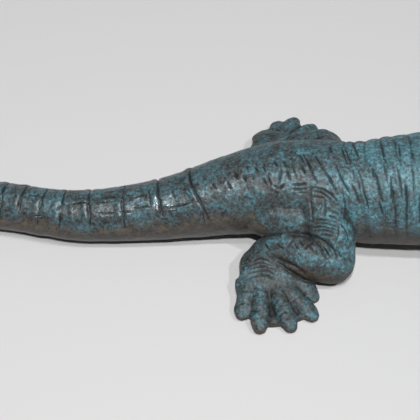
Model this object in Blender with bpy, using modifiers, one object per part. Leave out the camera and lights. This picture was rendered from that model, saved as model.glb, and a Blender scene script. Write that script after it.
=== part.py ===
"""A bronze lizard figurine, cast in one piece and lying on its belly, feet and tail.

Lengths are in metres and +Z is up. +X runs along the back towards the head, +Y is the animal's left.
The origin is on the flat underside of the belly, between the shoulders and the hips.
"""

import math
from collections import namedtuple

import bmesh
import bpy
import numpy as np

# Driving sizes
LENGTH = 0.320
TRUNK_WIDTH = 0.035
THIGH_THICKNESS = 0.0145
HIND_FOOT_LENGTH = 0.0248
FORE_FOOT_LENGTH = 0.0205
WEB_THICKNESS = 0.0019
EYE_DIAMETER = 0.0066

# Carving
RING_DEPTH = 0.00065
RING_WIDTH = 0.00055
FOLD_SPACING = 0.0037
FOLD_DEPTH = 0.00040
CREASE_DEPTH = 0.0008
CREASE_WIDTH = 0.0010
MOUTH_DEPTH = 0.0007

# Fineness of the solid, how far its joins are softened, and the height under which it lies flat
VOXEL = 0.0008
SOFTENING = 0.5
SOFT_ROUNDS = 4
FLAT_BELOW = 0.00004
TRIANGLES = 9600

# Points along the body, the angle at which an end's dome starts, and places looked up at a time
BODY_STEPS = 260
DOME_START = 0.12
BLOCK = 20000

# The pose is in parts, of which 320 make the length. Widths and heights on the body are in
# percent of the trunk's width, and on the legs in percent of the thigh's thickness.
PART = LENGTH / 320
GIRTH = TRUNK_WIDTH / 100
LIMB = THIGH_THICKNESS / 100
BELLY_SINK = 2.6 * GIRTH
UP = np.array([0.0, 0.0, 1.0])

# The spine from tail tip to neck: x, y, width and height of the back
SPINE = (
    (-227.0, 24.9, 5.0, 4.5),
    (-218.0, 22.2, 10.5, 10.0),
    (-203.0, 16.8, 17.0, 16.5),
    (-183.0, 10.6, 24.0, 23.5),
    (-160.0, 5.4, 32.0, 31.0),
    (-134.0, 0.8, 38.8, 38.0),
    (-122.0, -1.5, 39.0, 38.3),
    (-112.0, -3.3, 41.0, 40.2),
    (-99.0, -3.3, 44.0, 43.6),
    (-85.0, -2.1, 50.0, 50.8),
    (-68.0, 0.5, 63.0, 64.4),
    (-55.0, 2.0, 73.5, 73.7),
    (-44.0, 1.1, 79.5, 77.5),
    (-33.0, -0.5, 80.5, 80.3),
    (-20.0, -0.7, 87.5, 86.7),
    (-5.0, -0.3, 94.5, 91.5),
    (10.0, 0.6, 100.0, 93.5),
    (26.0, 2.2, 94.0, 87.0),
    (40.0, 3.6, 80.0, 76.0),
    (52.0, 5.2, 67.0, 66.0),
    (60.0, 6.6, 60.0, 60.0),
)
HIPS = -50.0

# The head: x, y, z, width and height
SKULL = (
    (44.0, 4.4, 35.0, 62.0, 60.0),
    (54.0, 5.6, 37.0, 66.0, 57.0),
    (62.0, 7.0, 38.5, 70.0, 50.0),
    (70.0, 8.8, 37.5, 62.0, 46.0),
    (78.0, 10.5, 34.5, 49.0, 37.0),
    (85.0, 12.2, 31.5, 39.0, 30.0),
    (88.5, 13.0, 30.0, 31.0, 25.0),
)
JAW = (
    (54.0, 5.6, 21.0, 60.0, 28.0),
    (66.0, 7.9, 20.5, 61.0, 25.0),
    (77.0, 10.4, 20.0, 46.0, 19.0),
    (87.5, 12.7, 21.0, 24.0, 14.0),
)

# On each side of the head, as x, distance out from its middle line and z
BROW = (
    (59.5, 23.0, 53.0, 12.0, 9.0),
    (64.5, 25.0, 57.0, 15.0, 12.0),
    (70.5, 22.5, 56.5, 15.0, 11.0),
    (76.5, 16.0, 50.0, 10.0, 9.0),
)
CHEEK = (
    (52.0, 20.0, 31.0, 22.0, 34.0),
    (58.5, 25.5, 30.0, 24.0, 34.0),
    (65.0, 23.5, 27.0, 20.0, 26.0),
)
EYE = (67.8, 27.0, 46.5)
EAR = (55.0, 32.5, 40.0)
NOSTRIL = (88.0, 11.5, 37.0)

# The right legs from the trunk outwards: x, y, z, width and height
THIGH = (
    (-43.6, -6.2, 105.0, 96.0, 98.0),
    (-41.9, -11.6, 94.0, 100.0, 101.0),
    (-40.4, -15.9, 71.0, 94.0, 96.0),
    (-40.0, -18.2, 52.0, 89.0, 91.0),
)
HAM = (
    (-60.0, -3.4, 76.0, 106.0, 108.0),
    (-52.0, -7.2, 76.0, 106.0, 108.0),
    (-45.5, -10.4, 78.0, 100.0, 100.0),
    (-41.0, -13.5, 68.0, 86.0, 86.0),
)
SHANK = (
    (-40.3, -18.9, 47.0, 95.0, 97.0),
    (-46.0, -17.7, 50.0, 101.0, 100.0),
    (-52.0, -15.9, 46.5, 88.0, 88.0),
    (-58.2, -15.9, 35.0, 64.0, 62.0),
)
UPPER_ARM = (
    (40.0, -1.6, 82.0, 112.0, 104.0),
    (35.0, -10.6, 70.0, 88.0, 86.0),
    (30.5, -17.6, 50.0, 66.0, 66.0),
)
FOREARM = (
    (30.5, -18.1, 44.0, 64.0, 64.0),
    (37.0, -22.4, 40.0, 62.0, 60.0),
    (45.0, -25.1, 29.0, 46.0, 46.0),
)

# Each leg: its chains, its side and its shift from the right leg, then its foot's own shift, heading,
# spread of the toes and length
LEGS = {
    "hind right": ((THIGH, HAM, SHANK), 1, (0.0, 0.0), (0.0, 0.0), -75.0, 1.0, HIND_FOOT_LENGTH),
    "hind left": ((THIGH, HAM, SHANK), -1, (-0.1, 1.7), (2.3, 1.8), 50.5, 0.75, HIND_FOOT_LENGTH),
    "fore right": ((UPPER_ARM, FOREARM), 1, (0.0, 0.0), (0.0, 0.0), -52.0, 1.0, FORE_FOOT_LENGTH),
    "fore left": ((UPPER_ARM, FOREARM), -1, (-7.0, 6.8), (0.0, 0.0), 60.0, 1.0, FORE_FOOT_LENGTH),
}

# The palm from heel to toes: turn from the foot's heading, then forward, z, width and height as shares
# of the foot's length
PALM = (
    (0.0, 0.02, 0.160, 0.66, 0.36),
    (10.0, 0.20, 0.155, 0.88, 0.35),
    (2.0, 0.38, 0.115, 0.91, 0.27),
    (0.0, 0.50, 0.080, 0.88, 0.17),
)

# The toes: heading of the tip, heading of the root, and length as a share of the foot's
TOES = (
    (-35.0, -43.5, 0.80),
    (-20.0, -23.0, 0.94),
    (1.5, -3.0, 0.955),
    (20.0, 10.0, 0.935),
    (33.0, 32.0, 0.745),
)
TOE_ROOT = 0.42
WEB_REACH = 0.90
WEB_HEEL = 0.1
WEB_SUNK = 0.5
GAP_START = 0.32

# The flesh between two toes: its height in each gap from the outer one, and its widths towards
# the tips, as shares of the foot's length, and how its height falls
GAP_HEIGHTS = (0.16, 0.0, 0.0, 0.16)
GAP_WIDTHS = (0.14, 0.17, 0.18)
GAP_FALL = (1.0, 0.8, 0.55)

# A toe from root to tip: share of its way, then z, width and height as shares of the foot's length
TOE = (
    (0.00, 0.130, 0.150, 0.200),
    (0.35, 0.100, 0.195, 0.195),
    (0.62, 0.078, 0.200, 0.165),
    (0.80, 0.066, 0.212, 0.145),
    (0.94, 0.054, 0.150, 0.110),
)

# The tail's rings, by distance behind the hips: pitch, slant for each radian round the tail, and depth
RING_PITCH = ((28.0, 10.0), (52.0, 9.6), (62.0, 6.0), (100.0, 5.4), (178.0, 3.0))
RING_LEAN = ((20.0, 4.4), (29.0, 3.0), (39.0, 0.8), (50.0, 0.0))
RING_FADE = ((30.0, 1.0), (178.0, 0.45))
RING_SWAY = 0.25 * PART
RING_WAVER = (2.1, 1.7)
ROUND_TOP = 0.6
LIP_AWAY = 2.1
LIP_RISE = 0.45

# Folds on the trunk, from and to these distances ahead of the hips
FOLDED = (9.0, 92.0)
FOLD_SLANT = 1.6 * PART
FOLD_SWAY = 0.9 * PART
FOLD_WAVER = 1.6
FOLD_BEATS = (2.0, 0.6)
FOLD_NARROW = 0.65

# Angle from the back at which carving starts to fade and has faded, and how much of a ring's depth goes
FLANK = (1.4, 2.3)
LOW_FADE = 0.75

# Where creases on a leg start and end: shares of its lowest length for those at the knee and the heel,
# crease widths ahead of the hip for the groin's, which is shallower
KNEE_SPAN = (-0.2, 0.2, 0.3, 0.7)
HEEL_SPAN = (0.6, 1.0)
GROIN_SPAN = (-2.0, 2.0)
GROIN_DEPTH = 0.3

# Mouth line: height at its corner, rise and length of its curve, the corner's x, and where it is deep
MOUTH_HEIGHT = 24.5
MOUTH_CURVE = 3.0
MOUTH_BEND = 8.0
MOUTH_CORNER = 60.0
MOUTH_DEEP = 63.0

# Round marks on the head: place, height as a share of the mouth's depth, radius and width as shares of the eye
HEAD_MARKS = (
    (EYE, 0.6, 0.62, 0.08),
    (EYE, -0.6, 0.47, 0.06),
    (EAR, -1.3, 0.0, 0.23),
    (NOSTRIL, -0.9, 0.0, 0.11),
)

Form = namedtuple("Form", "at centre along across up half")
Foot = namedtuple("Foot", "ankle heading side spread length")


def unit(vectors):
    """The same directions with length one."""
    return vectors / np.linalg.norm(vectors, axis=-1, keepdims=True)


def flow(knots, values, at):
    """The smooth curve through values at the knots, read at each place in at."""
    slopes = np.gradient(values, knots, axis=0)
    i = np.clip(np.searchsorted(knots, at, side="right") - 1, 0, len(knots) - 2)
    span = (knots[i + 1] - knots[i])[:, None]
    t = (at - knots[i])[:, None] / span
    return (
        values[i] * (1 + 2 * t) * (1 - t) ** 2
        + slopes[i] * span * t * (1 - t) ** 2
        + values[i + 1] * t**2 * (3 - 2 * t)
        + slopes[i + 1] * span * t**2 * (t - 1)
    )


def way_along(points):
    """Distance of each point from the first, along the line through them."""
    return np.append(0.0, np.cumsum(np.linalg.norm(np.diff(points, axis=0), axis=1)))


def swept(points, widths, heights, steps=28):
    """The form whose oval sections follow the smooth line through points."""
    points = np.asarray(points, float)
    knots = way_along(points)
    at = np.linspace(0.0, knots[-1], steps)
    flowing = flow(knots, np.column_stack([points, widths, heights]), at)
    centre, half = flowing[:, :3], flowing[:, 3:] / 2
    along = unit(np.gradient(centre, at, axis=0))
    across = unit(np.cross(along, UP))
    return Form(at, centre, along, across, np.cross(across, along), half)


def body_form():
    """Trunk and tail, which lie on the ground and sink into it a little."""
    x, y, width, height = np.array(SPINE).T
    tall = height * GIRTH + BELLY_SINK * width / 100
    centre = np.column_stack([x * PART, y * PART, height * GIRTH - tall / 2])
    return swept(centre, width * GIRTH, tall, steps=BODY_STEPS)


def head_form(table):
    """A mass of the head."""
    x, y, z, width, height = np.array(table).T
    return swept(np.column_stack([x * PART, y * PART, z * GIRTH]), width * GIRTH, height * GIRTH)


def beside_head(skull, x, out, z):
    """A place on one side of the head: out is positive on the right."""
    middle = np.interp(x * PART, skull.centre[:, 0], skull.centre[:, 1])
    return np.array([x * PART, middle - out * GIRTH, z * GIRTH])


def side_form(table, skull, side):
    """A mass on one side of the head."""
    centre = [beside_head(skull, x, side * out, z) for x, out, z in np.array(table)[:, :3]]
    width, height = np.array(table).T[3:] * GIRTH
    return swept(centre, width, height)


def leg_form(table, side, shift):
    """One length of a leg, on the right side as tabled or mirrored and shifted to the left."""
    x, y, z, width, height = np.array(table).T
    places = np.column_stack([(x + shift[0]) * PART, (side * y + shift[1]) * PART, z * LIMB])
    return swept(places, width * LIMB, height * LIMB)


def reach_out(foot, turn, reach):
    """Places on a foot's plan, at turns in degrees from its heading and shares of its length from the ankle."""
    a = np.radians(foot.heading + foot.side * foot.spread * np.asarray(turn))
    return foot.ankle[:2] + np.column_stack([np.cos(a) * reach, np.sin(a) * reach]) * foot.length


def toe_forms(foot):
    """The five toes of a foot, from the outer one."""
    way, z, width, height = np.array(TOE).T
    forms = []
    for tip, root, reach in TOES:
        start, end = reach_out(foot, (root, tip), (TOE_ROOT, reach))
        places = np.column_stack([start + way[:, None] * (end - start), z * foot.length])
        forms.append(swept(places, width * foot.length, height * foot.length))
    return forms


def gap_forms(foot):
    """The flesh that nearly fills the outermost gaps between the toes of a foot."""
    forms = []
    for one, two, height in zip(TOES, TOES[1:], GAP_HEIGHTS):
        if height:
            end = (one[2] + two[2]) / 2 * WEB_REACH - height / 2
            reaches = np.linspace(GAP_START, end, len(GAP_FALL))
            plan = reach_out(foot, np.full(len(GAP_FALL), (one[0] + two[0]) / 2), reaches)
            rise = np.array(GAP_FALL) * height * foot.length
            forms.append(swept(np.column_stack([plan, rise / 2]), np.array(GAP_WIDTHS) * foot.length, rise))
    return forms


def palm_form(foot):
    """The palm, from the ankle forwards."""
    turn, forward, z, width, height = np.array(PALM).T
    places = np.column_stack([reach_out(foot, turn, forward), z * foot.length])
    return swept(places, width * foot.length, height * foot.length)


def add_form(bm, form, sides=24, dome_steps=5):
    """A closed skin over a form, with a dome at each end."""
    turn = np.linspace(0.0, 2 * math.pi, sides, endpoint=False)
    rise = np.linspace(DOME_START, math.pi / 2, dome_steps, endpoint=False)
    sections = []
    for a in rise:
        sections.append((0, -math.cos(a), math.sin(a)))
    for row in range(len(form.at)):
        sections.append((row, 0.0, 1.0))
    for a in rise[::-1]:
        sections.append((-1, math.cos(a), math.sin(a)))
    rings = []
    for row, ahead, share in sections:
        width, height = form.half[row]
        centre = form.centre[row] + form.along[row] * ahead * min(width, height)
        rings.append([])
        for a in turn:
            out = form.across[row] * width * math.sin(a) + form.up[row] * height * math.cos(a)
            rings[-1].append(bm.verts.new(centre + out * share))
    for one, two in zip(rings, rings[1:]):
        for k in range(sides):
            bm.faces.new((one[k - 1], one[k], two[k], two[k - 1]))
    bm.faces.new(rings[0])
    bm.faces.new(rings[-1][::-1])


def add_web(bm, foot):
    """The thin skin between the toes of a foot."""
    tips = np.array(TOES)[:, ::2]
    gaps = (tips[:-1] + tips[1:]) / 2
    rim = np.empty((2 * len(TOES), 2))
    rim[0] = 0.0, WEB_HEEL
    rim[1::2] = tips
    rim[2::2] = gaps
    rim[1:, 1] *= WEB_REACH
    low = [bm.verts.new((x, y, -WEB_SUNK * WEB_THICKNESS)) for x, y in reach_out(foot, *rim.T)]
    face = bm.faces.new(low)
    lifted = bmesh.ops.extrude_face_region(bm, geom=[face], use_keep_orig=True)["geom"]
    high = [v for v in lifted if isinstance(v, bmesh.types.BMVert)]
    bmesh.ops.translate(bm, verts=high, vec=(0.0, 0.0, (1 + WEB_SUNK) * WEB_THICKNESS))


def nearest(places, line):
    """The row of the line's point that is nearest to each place."""
    rows = []
    for block in np.array_split(places, len(places) // BLOCK + 1):
        rows.append(np.argmin((line**2).sum(axis=1) - 2 * block @ line.T, axis=1))
    return np.concatenate(rows)


def chart(form, places):
    """For each place: its distance along the form, the angle round it from the top, and its height off it."""
    row = nearest(places, form.centre)
    offset = places - form.centre[row]
    ahead = (offset * form.along[row]).sum(axis=1)
    side = (offset * form.across[row]).sum(axis=1) / form.half[row, 0]
    rise = (offset * form.up[row]).sum(axis=1) / form.half[row, 1]
    mean = form.half[row].mean(axis=1)
    beyond = np.maximum(np.abs(ahead) - (form.at[1] - form.at[0]), 0.0) / mean
    off = (np.sqrt(side**2 + rise**2 + beyond**2) - 1) * mean
    return form.at[row] + ahead, np.arctan2(side, rise), off


def line(distance, width):
    """A soft line: one at distance zero, falling to nothing over the width."""
    return np.exp(-((distance / width) ** 2))


def on(off, reach):
    """One on a form's own skin, falling to nothing away from it."""
    return np.exp(-((np.maximum(np.abs(off) - reach / 2, 0.0) / reach) ** 2))


def fade(value, start, end):
    """A smooth step from nothing at start to one at end."""
    t = np.clip((value - start) / (end - start), 0.0, 1.0)
    return t * t * (3 - 2 * t)


def ring_places():
    """Distance behind the hips of each ring on the tail."""
    behind, pitch = np.array(RING_PITCH).T * PART
    places = [behind[0]]
    while places[-1] < behind[-1]:
        places.append(places[-1] + np.interp(places[-1], behind, pitch))
    return places


def carve_rings(behind, turn):
    """Rings on the tail: a groove with a low lip on each side, fading towards the ground."""
    cut = np.zeros(len(behind))
    place, slant = np.array(RING_LEAN).T * PART
    lean = np.interp(behind, place, slant) * (np.hypot(turn, ROUND_TOP) - ROUND_TOP)
    place, share = np.array(RING_FADE).T
    for k, ring in enumerate(ring_places()):
        sway = RING_SWAY * np.sin(RING_WAVER[0] * turn + RING_WAVER[1] * k)
        distance = ring - behind - lean - sway
        groove = line(distance, RING_WIDTH)
        lips = line(np.abs(distance) - LIP_AWAY * RING_WIDTH, RING_WIDTH)
        cut += RING_DEPTH * np.interp(ring / PART, place, share) * (LIP_RISE * lips - groove)
    return cut * (1 - LOW_FADE * fade(np.abs(turn), *FLANK))


def carve_folds(ahead, turn):
    """Folds round the trunk, wavering and slanting back towards the belly."""
    start, end = FOLDED[0] * PART, FOLDED[1] * PART
    wave = ahead - FOLD_SLANT * np.abs(turn)
    wave += FOLD_SWAY * np.sin(FOLD_WAVER * turn + ahead / (FOLD_BEATS[0] * FOLD_SPACING))
    wave += FOLD_SWAY / 2 * np.sin(ahead / (FOLD_BEATS[1] * FOLD_SPACING))
    folds = np.cos(2 * math.pi * wave / FOLD_SPACING)
    where = fade(ahead, start, start + 2 * FOLD_SPACING) * (1 - fade(ahead, end, end + 2 * FOLD_SPACING))
    where *= 1 - fade(np.abs(turn), *FLANK)
    return FOLD_DEPTH * ((1 - FOLD_NARROW) * folds - FOLD_NARROW * np.maximum(-folds, 0.0) ** 2) * where


def carve_body(body, places):
    """All carving on trunk and tail, as heights over their skin."""
    at, turn, off = chart(body, places)
    ahead = at - np.interp(HIPS * PART, body.centre[:, 0], body.at)
    return (carve_rings(-ahead, turn) + carve_folds(ahead, turn)) * on(off, 2 * RING_DEPTH)


def carve_leg(forms, body, places):
    """Creases where a leg leaves the trunk in front and where its lowest length meets what is round it."""
    *upper, lowest, palm = [chart(form, places)[2] for form in forms]
    above = np.min(upper, axis=0)
    down = chart(forms[-2], places)[0] / forms[-2].at[-1]
    cut = line(above - lowest, CREASE_WIDTH) * on(above, CREASE_WIDTH)
    cut *= fade(down, *KNEE_SPAN[:2]) * (1 - fade(down, *KNEE_SPAN[2:]))
    cut += line(lowest - palm, CREASE_WIDTH) * on(lowest, CREASE_WIDTH) * (1 - fade(down, *HEEL_SPAN))
    ahead = (places[:, 0] - forms[0].centre[:, 0].mean()) / CREASE_WIDTH
    groin = line(chart(body, places)[2] - upper[0], 2 * CREASE_WIDTH) * on(upper[0], CREASE_WIDTH)
    return -CREASE_DEPTH * (cut + GROIN_DEPTH * groin * fade(ahead, *GROIN_SPAN))


def carve_head(skull, places):
    """Mouth, eyelids, ears and nostrils."""
    cut = np.zeros(len(places))
    x = places[:, 0] / PART
    mouth = (MOUTH_HEIGHT + MOUTH_CURVE * np.sin((x - MOUTH_CORNER) / MOUTH_BEND)) * GIRTH
    front = fade(x, MOUTH_CORNER, MOUTH_DEEP)
    cut -= MOUTH_DEPTH * line(places[:, 2] - mouth, MOUTH_DEPTH) * front
    for side in (1, -1):
        for spot, depth, ring, width in HEAD_MARKS:
            centre = beside_head(skull, spot[0], side * spot[1], spot[2])
            far = np.linalg.norm(places - centre, axis=1)
            cut += depth * MOUTH_DEPTH * line(far - ring * EYE_DIAMETER, width * EYE_DIAMETER)
    return cut


def evaluated(obj):
    """A new mesh of the object as its modifiers leave it."""
    return bpy.data.meshes.new_from_object(obj.evaluated_get(bpy.context.evaluated_depsgraph_get()))


def vectors_of(collection, name):
    """A property of all of a mesh's vertices or normals, as rows of three."""
    values = np.empty(len(collection) * 3)
    collection.foreach_get(name, values)
    return values.reshape(-1, 3)


def bronze():
    """Bronze under a blue-green patina."""
    material = bpy.data.materials.new("bronze_patina")
    material.use_nodes = True
    shader = material.node_tree.nodes["Principled BSDF"]
    shader.inputs["Base Color"].default_value = (0.085, 0.175, 0.190, 1.0)
    shader.inputs["Metallic"].default_value = 0.35
    shader.inputs["Roughness"].default_value = 0.48
    return material


def add_leg(bm, chains, side, shift, step, heading, spread, length):
    """A leg with its foot. Gives back the forms of its lengths and its palm."""
    forms = [leg_form(table, side, shift) for table in chains]
    ankle = forms[-1].centre[-1] + np.array([*step, 0.0]) * PART
    foot = Foot(ankle, heading, side, spread, length)
    forms.append(palm_form(foot))
    for form in forms + toe_forms(foot) + gap_forms(foot):
        add_form(bm, form)
    add_web(bm, foot)
    return forms


def carve(skin, body, skull, legs):
    """Cut all carving into the skin, and rest its underside on the ground."""
    places = vectors_of(skin.vertices, "co")
    outward = vectors_of(skin.vertex_normals, "vector")
    cut = carve_body(body, places) + carve_head(skull, places)
    for forms in legs:
        cut += carve_leg(forms, body, places)
    places = places + outward * cut[:, None]
    places[:, 2] = np.maximum(places[:, 2], 0.0)
    skin.vertices.foreach_set("co", places.ravel())
    skin.update()


def build_lizard():
    """The whole animal as one solid."""
    body = body_form()
    skull = head_form(SKULL)
    bm = bmesh.new()
    add_form(bm, body, sides=40)
    add_form(bm, skull)
    add_form(bm, head_form(JAW))
    for side in (1, -1):
        for table in (BROW, CHEEK):
            add_form(bm, side_form(table, skull, side))
        ball = bmesh.ops.create_uvsphere(bm, u_segments=24, v_segments=16, radius=EYE_DIAMETER / 2)
        bmesh.ops.translate(bm, verts=ball["verts"], vec=beside_head(skull, EYE[0], side * EYE[1], EYE[2]))
    legs = [add_leg(bm, *leg) for leg in LEGS.values()]
    bmesh.ops.recalc_face_normals(bm, faces=bm.faces)
    mesh = bpy.data.meshes.new("lizard")
    bm.to_mesh(mesh)
    bm.free()
    lizard = bpy.data.objects.new("lizard", mesh)
    bpy.context.scene.collection.objects.link(lizard)

    remesh = lizard.modifiers.new("One skin", "REMESH")
    remesh.mode = "VOXEL"
    remesh.voxel_size = VOXEL
    smooth = lizard.modifiers.new("Soft joins", "SMOOTH")
    smooth.factor = SOFTENING
    smooth.iterations = SOFT_ROUNDS
    skin = evaluated(lizard)
    carve(skin, body, skull, legs)

    lizard.modifiers.clear()
    lizard.data = skin
    decimate = lizard.modifiers.new("Fewer faces", "DECIMATE")
    decimate.ratio = TRIANGLES / (2 * len(skin.polygons))
    final = evaluated(lizard)
    for vertex in final.vertices:
        if vertex.co.z < FLAT_BELOW:
            vertex.co.z = 0.0
    lizard.modifiers.clear()
    lizard.data = final
    final.materials.append(bronze())
    final.shade_smooth()
    return lizard


def main():
    """Empty the scene and build the animal in a collection of its own."""
    for obj in list(bpy.data.objects):
        bpy.data.objects.remove(obj)
    collection = bpy.data.collections.new("Bronze lizard")
    bpy.context.scene.collection.children.link(collection)
    lizard = build_lizard()
    bpy.context.scene.collection.objects.unlink(lizard)
    collection.objects.link(lizard)


main()
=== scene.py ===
"""The looks of a bronze lizard figurine: its finely carved skin under a blue-green patina.

Lengths are in metres and +Z is up. +X runs along the back towards the head, +Y is the animal's left.
"""

import math
from collections import namedtuple

import bmesh
import bpy
import numpy as np
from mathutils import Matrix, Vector
from mathutils.bvhtree import BVHTree


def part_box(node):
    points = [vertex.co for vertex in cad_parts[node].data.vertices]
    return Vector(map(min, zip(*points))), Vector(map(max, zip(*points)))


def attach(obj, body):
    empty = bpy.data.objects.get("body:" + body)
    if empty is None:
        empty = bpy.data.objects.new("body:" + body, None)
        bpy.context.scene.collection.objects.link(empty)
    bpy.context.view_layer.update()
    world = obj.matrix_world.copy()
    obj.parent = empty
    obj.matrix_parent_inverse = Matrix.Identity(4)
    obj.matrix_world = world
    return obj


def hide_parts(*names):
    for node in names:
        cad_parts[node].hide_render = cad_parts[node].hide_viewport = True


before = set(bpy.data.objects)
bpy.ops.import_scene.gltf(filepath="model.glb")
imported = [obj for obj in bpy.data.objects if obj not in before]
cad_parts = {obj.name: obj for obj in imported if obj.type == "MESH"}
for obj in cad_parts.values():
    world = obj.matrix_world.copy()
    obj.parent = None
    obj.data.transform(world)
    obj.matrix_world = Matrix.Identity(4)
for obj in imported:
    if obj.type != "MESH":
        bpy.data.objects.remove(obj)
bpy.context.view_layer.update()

LOW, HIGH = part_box("lizard")

# Driving sizes
PARTS_LONG = 320.2
PART = (HIGH.x - LOW.x) / PARTS_LONG
TRUNK_WIDTH = 0.035
THIGH_THICKNESS = 0.0145
HIND_FOOT_LENGTH = 0.0248
FORE_FOOT_LENGTH = 0.0205
WEB_THICKNESS = 0.0019
EYE_DIAMETER = 0.0066

# Carving
RING_DEPTH = 0.00084
RING_WIDTH = 0.00030
SWELL_RISE = 0.00028
SWELL_WIDTH = 0.0013
RIDGE_RISE = 0.00032
FOLD_SPACING = 0.0037
FOLD_DEPTH = 0.00028
CREASE_DEPTH = 0.0006
CREASE_WIDTH = 0.0008
MOUTH_DEPTH = 0.0007

# Fineness of the skin: the solid's own, which sets how soft its joins are, and the finer one here
SOLID_VOXEL = 0.0008
SOLID_SMOOTHING = 4
VOXEL = 0.00030
TRIANGLES = 190000

# Points along the body, the angle at which an end's dome starts, and places looked up at a time
BODY_STEPS = 260
DOME_START = 0.12
BLOCK = 20000

# The pose is in parts. Widths and heights on the body are in percent of the trunk's width,
# and on the legs in percent of the thigh's thickness.
GIRTH = TRUNK_WIDTH / 100
LIMB = THIGH_THICKNESS / 100
BELLY_SINK = 2.6 * GIRTH
UP = np.array([0.0, 0.0, 1.0])

# The spine from tail tip to neck: x, y, width and height of the back
SPINE = (
    (-227.0, 24.9, 5.0, 4.5),
    (-218.0, 22.2, 10.5, 10.0),
    (-203.0, 16.8, 17.0, 16.5),
    (-183.0, 10.6, 24.0, 23.5),
    (-160.0, 5.4, 32.0, 31.0),
    (-134.0, 0.8, 38.8, 38.0),
    (-122.0, -1.5, 39.0, 38.3),
    (-112.0, -3.3, 41.0, 40.2),
    (-99.0, -3.3, 44.0, 43.6),
    (-85.0, -2.1, 50.0, 50.8),
    (-68.0, 0.5, 63.0, 64.4),
    (-55.0, 2.0, 73.5, 73.7),
    (-44.0, 1.1, 79.5, 77.5),
    (-33.0, -0.5, 80.5, 80.3),
    (-20.0, -0.7, 87.5, 86.7),
    (-5.0, -0.3, 94.5, 91.5),
    (10.0, 0.6, 100.0, 93.5),
    (26.0, 2.2, 94.0, 87.0),
    (40.0, 3.6, 80.0, 76.0),
    (52.0, 5.2, 67.0, 66.0),
    (60.0, 6.6, 60.0, 60.0),
)
HIPS = -50.0

# The head: x, y, z, width and height
SKULL = (
    (44.0, 4.4, 35.0, 62.0, 60.0),
    (54.0, 5.6, 37.0, 66.0, 57.0),
    (62.0, 7.0, 38.5, 70.0, 50.0),
    (70.0, 8.8, 37.5, 62.0, 46.0),
    (78.0, 10.5, 34.5, 49.0, 37.0),
    (85.0, 12.2, 31.5, 39.0, 30.0),
    (88.5, 13.0, 30.0, 31.0, 25.0),
)
JAW = (
    (54.0, 5.6, 21.0, 60.0, 28.0),
    (66.0, 7.9, 20.5, 61.0, 25.0),
    (77.0, 10.4, 20.0, 46.0, 19.0),
    (87.5, 12.7, 21.0, 24.0, 14.0),
)

# On each side of the head, as x, distance out from its middle line and z
BROW = (
    (59.5, 23.0, 53.0, 12.0, 9.0),
    (64.5, 25.0, 57.0, 15.0, 12.0),
    (70.5, 22.5, 56.5, 15.0, 11.0),
    (76.5, 16.0, 50.0, 10.0, 9.0),
)
CHEEK = (
    (52.0, 20.0, 31.0, 22.0, 34.0),
    (58.5, 25.5, 30.0, 24.0, 34.0),
    (65.0, 23.5, 27.0, 20.0, 26.0),
)
EYE = (67.8, 27.0, 46.5)
EAR = (55.0, 32.5, 40.0)
NOSTRIL = (88.0, 11.5, 37.0)

# The right legs from the trunk outwards: x, y, z, width and height
THIGH = (
    (-43.6, -6.2, 105.0, 96.0, 98.0),
    (-41.9, -11.6, 94.0, 100.0, 101.0),
    (-40.4, -15.9, 71.0, 94.0, 96.0),
    (-40.0, -18.2, 52.0, 89.0, 91.0),
)
HAM = (
    (-60.0, -3.4, 76.0, 106.0, 108.0),
    (-52.0, -7.2, 76.0, 106.0, 108.0),
    (-45.5, -10.4, 78.0, 100.0, 100.0),
    (-41.0, -13.5, 68.0, 86.0, 86.0),
)
SHANK = (
    (-40.3, -18.9, 47.0, 95.0, 97.0),
    (-46.0, -17.7, 50.0, 101.0, 100.0),
    (-52.0, -15.9, 46.5, 88.0, 88.0),
    (-58.2, -15.9, 35.0, 64.0, 62.0),
)
UPPER_ARM = (
    (40.0, -1.6, 82.0, 112.0, 104.0),
    (35.0, -10.6, 70.0, 88.0, 86.0),
    (30.5, -17.6, 50.0, 66.0, 66.0),
)
FOREARM = (
    (30.5, -18.1, 44.0, 64.0, 64.0),
    (37.0, -22.4, 40.0, 62.0, 60.0),
    (45.0, -25.1, 29.0, 46.0, 46.0),
)

# Each leg: its chains, its side and its shift from the right leg, then its foot's own shift, heading,
# spread of the toes and length
LEGS = {
    "hind right": ((THIGH, HAM, SHANK), 1, (0.0, 0.0), (0.0, 0.0), -75.0, 1.0, HIND_FOOT_LENGTH),
    "hind left": ((THIGH, HAM, SHANK), -1, (-0.1, 1.7), (2.3, 1.8), 50.5, 0.75, HIND_FOOT_LENGTH),
    "fore right": ((UPPER_ARM, FOREARM), 1, (0.0, 0.0), (0.0, 0.0), -52.0, 1.0, FORE_FOOT_LENGTH),
    "fore left": ((UPPER_ARM, FOREARM), -1, (-7.0, 6.8), (0.0, 0.0), 60.0, 1.0, FORE_FOOT_LENGTH),
}

# The palm from heel to toes: turn from the foot's heading, then forward, z, width and height as shares
# of the foot's length
PALM = (
    (0.0, 0.02, 0.160, 0.66, 0.36),
    (10.0, 0.20, 0.155, 0.88, 0.35),
    (2.0, 0.38, 0.115, 0.91, 0.27),
    (0.0, 0.50, 0.080, 0.88, 0.17),
)

# The toes: heading of the tip, heading of the root, and length as a share of the foot's
TOES = (
    (-35.0, -43.5, 0.80),
    (-20.0, -23.0, 0.94),
    (1.5, -3.0, 0.955),
    (20.0, 10.0, 0.935),
    (33.0, 32.0, 0.745),
)
TOE_ROOT = 0.42
WEB_REACH = 0.90
WEB_HEEL = 0.1
WEB_SUNK = 0.5
GAP_START = 0.32
FOOT_REACH = 1.2

# The flesh between two toes: its height in each gap from the outer one, and its widths towards
# the tips, as shares of the foot's length, and how its height falls
GAP_HEIGHTS = (0.16, 0.0, 0.0, 0.16)
GAP_WIDTHS = (0.14, 0.17, 0.18)
GAP_FALL = (1.0, 0.8, 0.55)

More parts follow.
